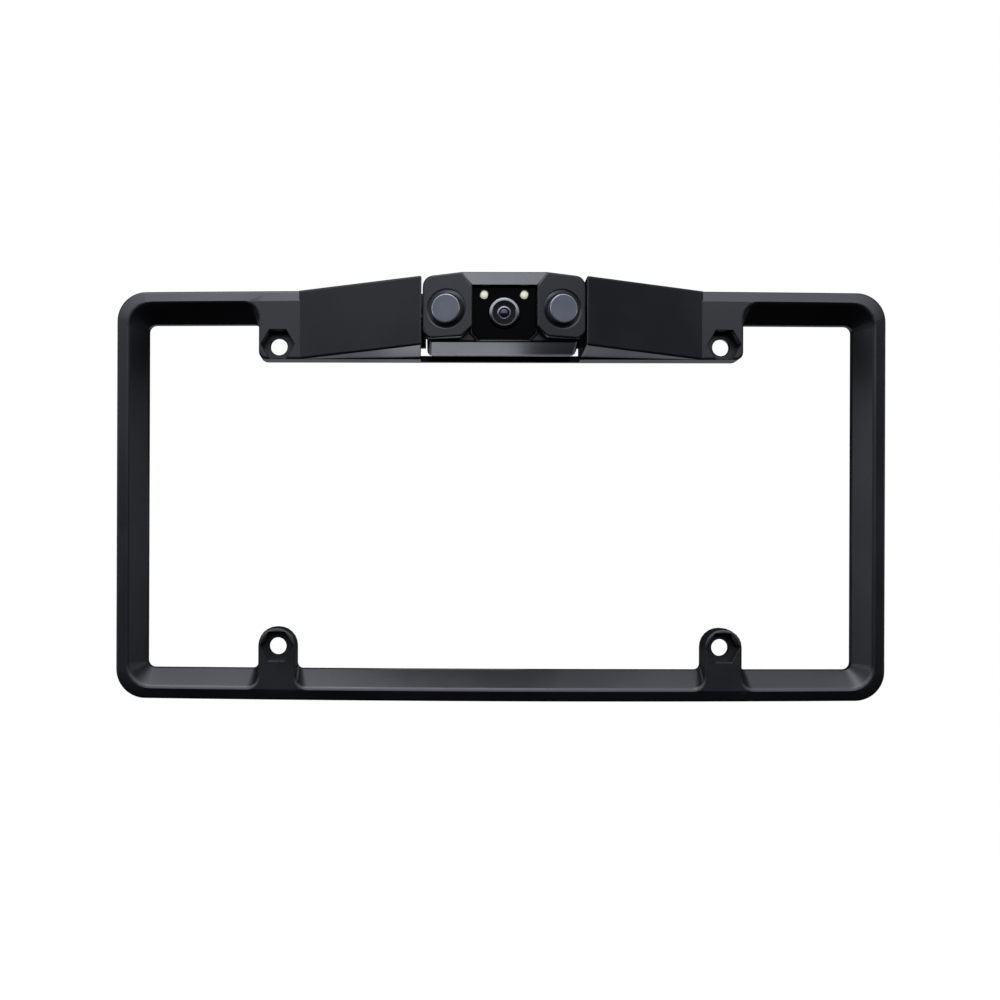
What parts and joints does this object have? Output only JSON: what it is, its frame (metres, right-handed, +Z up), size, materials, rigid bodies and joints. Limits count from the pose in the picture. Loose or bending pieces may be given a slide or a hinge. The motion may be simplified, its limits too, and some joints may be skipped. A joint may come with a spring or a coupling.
{
  "type": "backup camera",
  "caption": "Licence-plate frame with raised wings on its top bar that carry a tilting module: a reversing camera with lamps and a round parking sensor on each side.",
  "frame": {"origin": "middle of the four plate bolts, on the rear face that rests on the plate", "axes": "+X to the right as seen from behind the vehicle, +Y into the vehicle, +Z up; the camera looks along -Y"},
  "size_m": [0.3064, 0.0394, 0.1666],
  "materials": {
    "frame_plastic": "satin moulded black",
    "housing_plastic": "satin moulded black",
    "gloss_black": "polished black",
    "sensor_face": "satin dark grey",
    "rubber": "matt black",
    "steel": "plated screws",
    "brass": "turned and knurled",
    "lens_glass": "coated glass",
    "black_parts": "moulded black",
    "circuit_board": "green solder mask",
    "led_lens": "clear warm white",
    "ribbon_film": "amber film",
    "lead_jacket": "red jacket",
    "socket_plastic": "natural nylon"
  },
  "bodies": {
    "frame_body": {"plate_frame": "frame_plastic", "friction_washer_left": "rubber", "friction_washer_right": "rubber"},
    "camera_module": {"front_housing": "housing_plastic", "rear_housing": "housing_plastic", "housing_seal": "rubber", "camera_window": "gloss_black", "cable_grommet": "rubber", "lens_barrel": "gloss_black", "lens_retaining_ring": "gloss_black", "front_lens": "lens_glass", "rear_lens": "lens_glass", "lens_holder": "black_parts", "image_sensor": "black_parts", "camera_board": "circuit_board", "led_board": "circuit_board", "main_board": "circuit_board", "processor_chip": "black_parts", "ribbon_socket_main": "socket_plastic", "ribbon_socket_camera": "socket_plastic", "camera_ribbon": "ribbon_film", "pivot_screw_left": "steel", "threaded_insert_left": "brass", "led_left": "led_lens", "sensor_lead_left": "lead_jacket", "sensor_plug_left": "socket_plastic", "board_screw_left": "steel", "sensor_cup_left": "sensor_face", "sensor_sleeve_left": "rubber", "sensor_terminal_board_left": "circuit_board", "housing_screw_upper_left": "steel", "housing_screw_lower_left": "steel", "pivot_screw_right": "steel", "threaded_insert_right": "brass", "led_right": "led_lens", "sensor_lead_right": "lead_jacket", "sensor_plug_right": "socket_plastic", "board_screw_right": "steel", "sensor_cup_right": "sensor_face", "sensor_sleeve_right": "rubber", "sensor_terminal_board_right": "circuit_board", "housing_screw_upper_right": "steel", "housing_screw_lower_right": "steel"}
  },
  "joints": [
    {"name": "camera_tilt", "type": "hinge", "parent": "frame_body", "child": "camera_module", "pos_m": [0, -0.017, 0.0698], "axis": [1, 0, 0], "range_deg": [-15, 20]}
  ]
}
